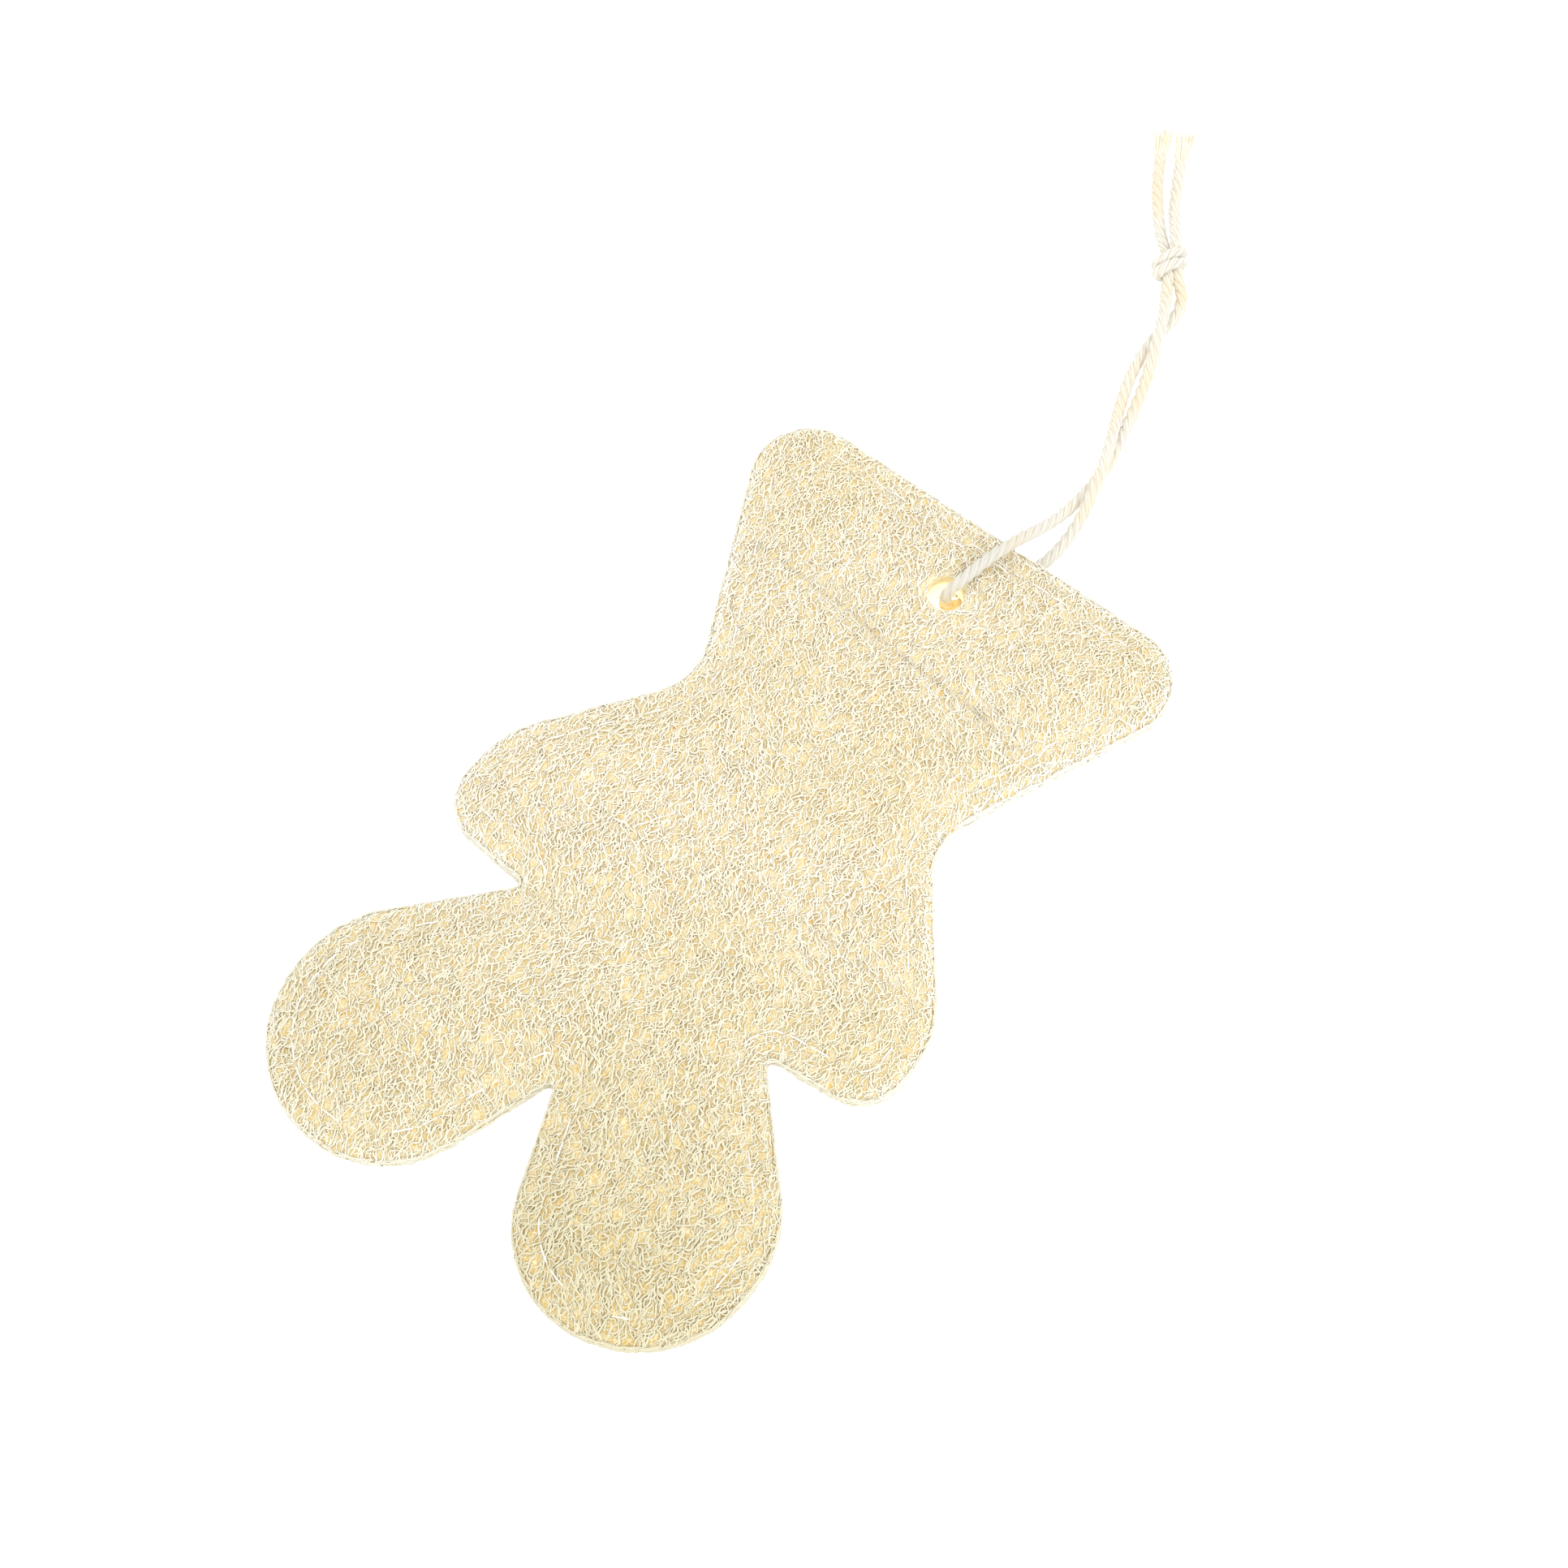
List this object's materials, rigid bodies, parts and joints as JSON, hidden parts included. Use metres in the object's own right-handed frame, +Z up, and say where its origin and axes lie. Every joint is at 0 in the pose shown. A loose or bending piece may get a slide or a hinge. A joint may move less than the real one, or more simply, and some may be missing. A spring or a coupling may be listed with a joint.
{
  "type": "natural loofah sponge",
  "caption": "Flat natural loofah wash pad cut to a simple figure outline, netted fibrous sheets stitched near the edge, with a knotted cotton cord through a hole for hanging.",
  "frame": {"origin": "centre of the pad's footprint on the surface it lies on", "axes": "+Y along the pad from the legs to the head, +Z up through its thickness with the front sheet on top, +X to the right seen from above"},
  "size_m": [0.0874, 0.2317, 0.0101],
  "materials": {
    "loofah": "dry matte plant fibre, cream with golden pores",
    "thread": "white sewing thread, satin",
    "cord": "undyed twisted cotton, matte"
  },
  "bodies": {
    "root": {"front_sheet": "loofah", "back_sheet": "loofah", "needle_thread": "thread", "bobbin_thread": "thread", "hang_cord": "cord", "cord_knot": "cord", "cord_tail_left": "cord", "cord_tail_right": "cord"}
  },
  "joints": []
}
